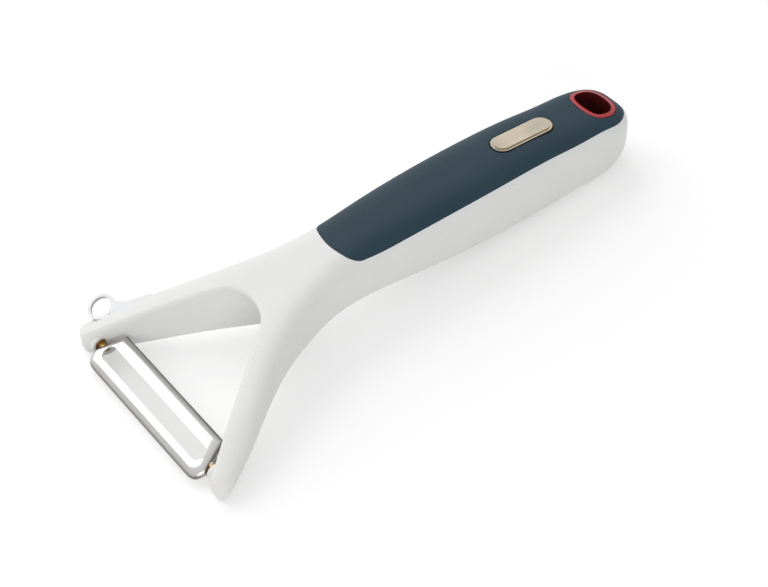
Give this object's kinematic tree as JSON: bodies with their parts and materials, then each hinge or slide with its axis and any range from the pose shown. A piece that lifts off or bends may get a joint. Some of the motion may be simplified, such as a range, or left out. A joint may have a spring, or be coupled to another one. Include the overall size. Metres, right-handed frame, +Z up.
{
  "type": "vegetable peeler",
  "caption": "Y-shaped vegetable peeler with a long soft-grip handle, a slotted blade that swivels between two arms, an eye-remover ring and a hanging hole.",
  "frame": {"origin": "centre of the underside of the peeler's bounding box, on the surface it lies on", "axes": "+Y along the handle from the blade to the heel, +Z up out of the soft grip as the peeler lies, +X to the right seen from the blade's end"},
  "size_m": [0.0778, 0.1736, 0.027],
  "materials": {
    "white_shell": "white moulded plastic with a soft satin shine",
    "carrier": "white moulded plastic, hidden under the grip",
    "soft_grip": "dark blue-grey soft-touch rubber, matt",
    "red_liner": "dark red moulded plastic",
    "badge_metal": "bare satin metal with a warm tint",
    "blade_steel": "bright ground stainless steel",
    "pin_bronze": "turned bronze, satin",
    "stamped_steel": "stamped stainless sheet"
  },
  "bodies": {
    "handle": {"handle_body": "white_shell", "grip_carrier": "carrier", "soft_grip": "soft_grip", "hanging_hole_liner": "red_liner", "badge_plate": "badge_metal", "pivot_pin_right": "pin_bronze", "pivot_pin_left": "pin_bronze", "eye_remover": "stamped_steel"},
    "blade": {"blade": "blade_steel"}
  },
  "joints": [
    {"name": "blade_swivel", "type": "hinge", "parent": "handle", "child": "blade", "pos_m": [0.00176, -0.08054, 0.00406], "axis": [1, 0, 0], "range_deg": [-30, 30]}
  ]
}
